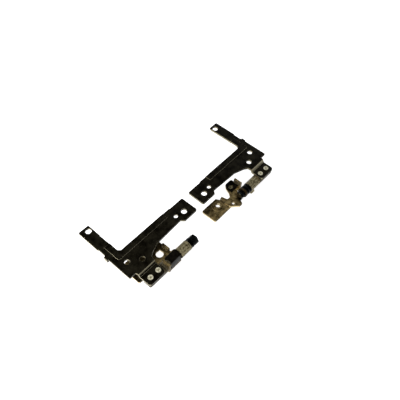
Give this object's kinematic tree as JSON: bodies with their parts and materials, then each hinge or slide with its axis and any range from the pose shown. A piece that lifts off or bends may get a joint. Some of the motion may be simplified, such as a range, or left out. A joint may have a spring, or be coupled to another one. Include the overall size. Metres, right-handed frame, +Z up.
{
  "type": "laptop hinge pair",
  "caption": "Left and right laptop lid hinges: L-shaped lid brackets riveted to friction shafts that turn in stamped base brackets.",
  "frame": {"origin": "middle of the pair's box, on the plane that the pair rests on", "axes": "+X along both hinge axes, from the left hinge to the right one; +Y towards the lid brackets' arms; +Z up"},
  "size_m": [0.0976, 0.042, 0.0083],
  "materials": {
    "blackened_sheet": "blackened steel sheet, satin",
    "shaft_steel": "turned steel, dull nickel plate",
    "rivet_steel": "bright nickel plate",
    "washer_bronze": "dull bronze, satin",
    "spring_steel": "black oxide, oiled",
    "black_nut": "black oxide, oiled",
    "spacer_steel": "dull steel, satin",
    "cam_block": "sintered steel, black",
    "sleeve_nickel": "nickel plate, satin",
    "base_yellow_zinc": "yellow passivated zinc, satin",
    "stop_black": "blackened steel sheet, satin",
    "stop_rivet_steel": "nickel plate, satin"
  },
  "bodies": {
    "base": {"left_base_bracket": "base_yellow_zinc", "left_spacer_washer": "spacer_steel", "left_cam_block": "cam_block", "left_torque_sleeve": "sleeve_nickel", "right_base_bracket": "base_yellow_zinc", "right_torque_sleeve": "sleeve_nickel", "right_disc_springs": "spring_steel", "right_stop_plate": "stop_black", "right_stop_rivet": "stop_rivet_steel"},
    "left_lid": {"left_lid_bracket": "blackened_sheet", "left_shaft": "shaft_steel", "left_tail_rivets": "rivet_steel", "left_friction_washer": "washer_bronze", "left_disc_springs": "spring_steel", "left_nut": "black_nut"},
    "right_lid": {"right_lid_bracket": "blackened_sheet", "right_shaft": "shaft_steel", "right_tail_rivets": "rivet_steel", "right_friction_washer": "washer_bronze", "right_nut": "black_nut"}
  },
  "joints": [
    {"name": "left_hinge", "type": "hinge", "parent": "base", "child": "left_lid", "pos_m": [-0.024, -0.0179, 0.0042], "axis": [1, 0, 0], "range_deg": [0, 135]},
    {"name": "right_hinge", "type": "hinge", "parent": "base", "child": "right_lid", "pos_m": [0.028, -0.0179, 0.0042], "axis": [1, 0, 0], "range_deg": [0, 135]}
  ]
}
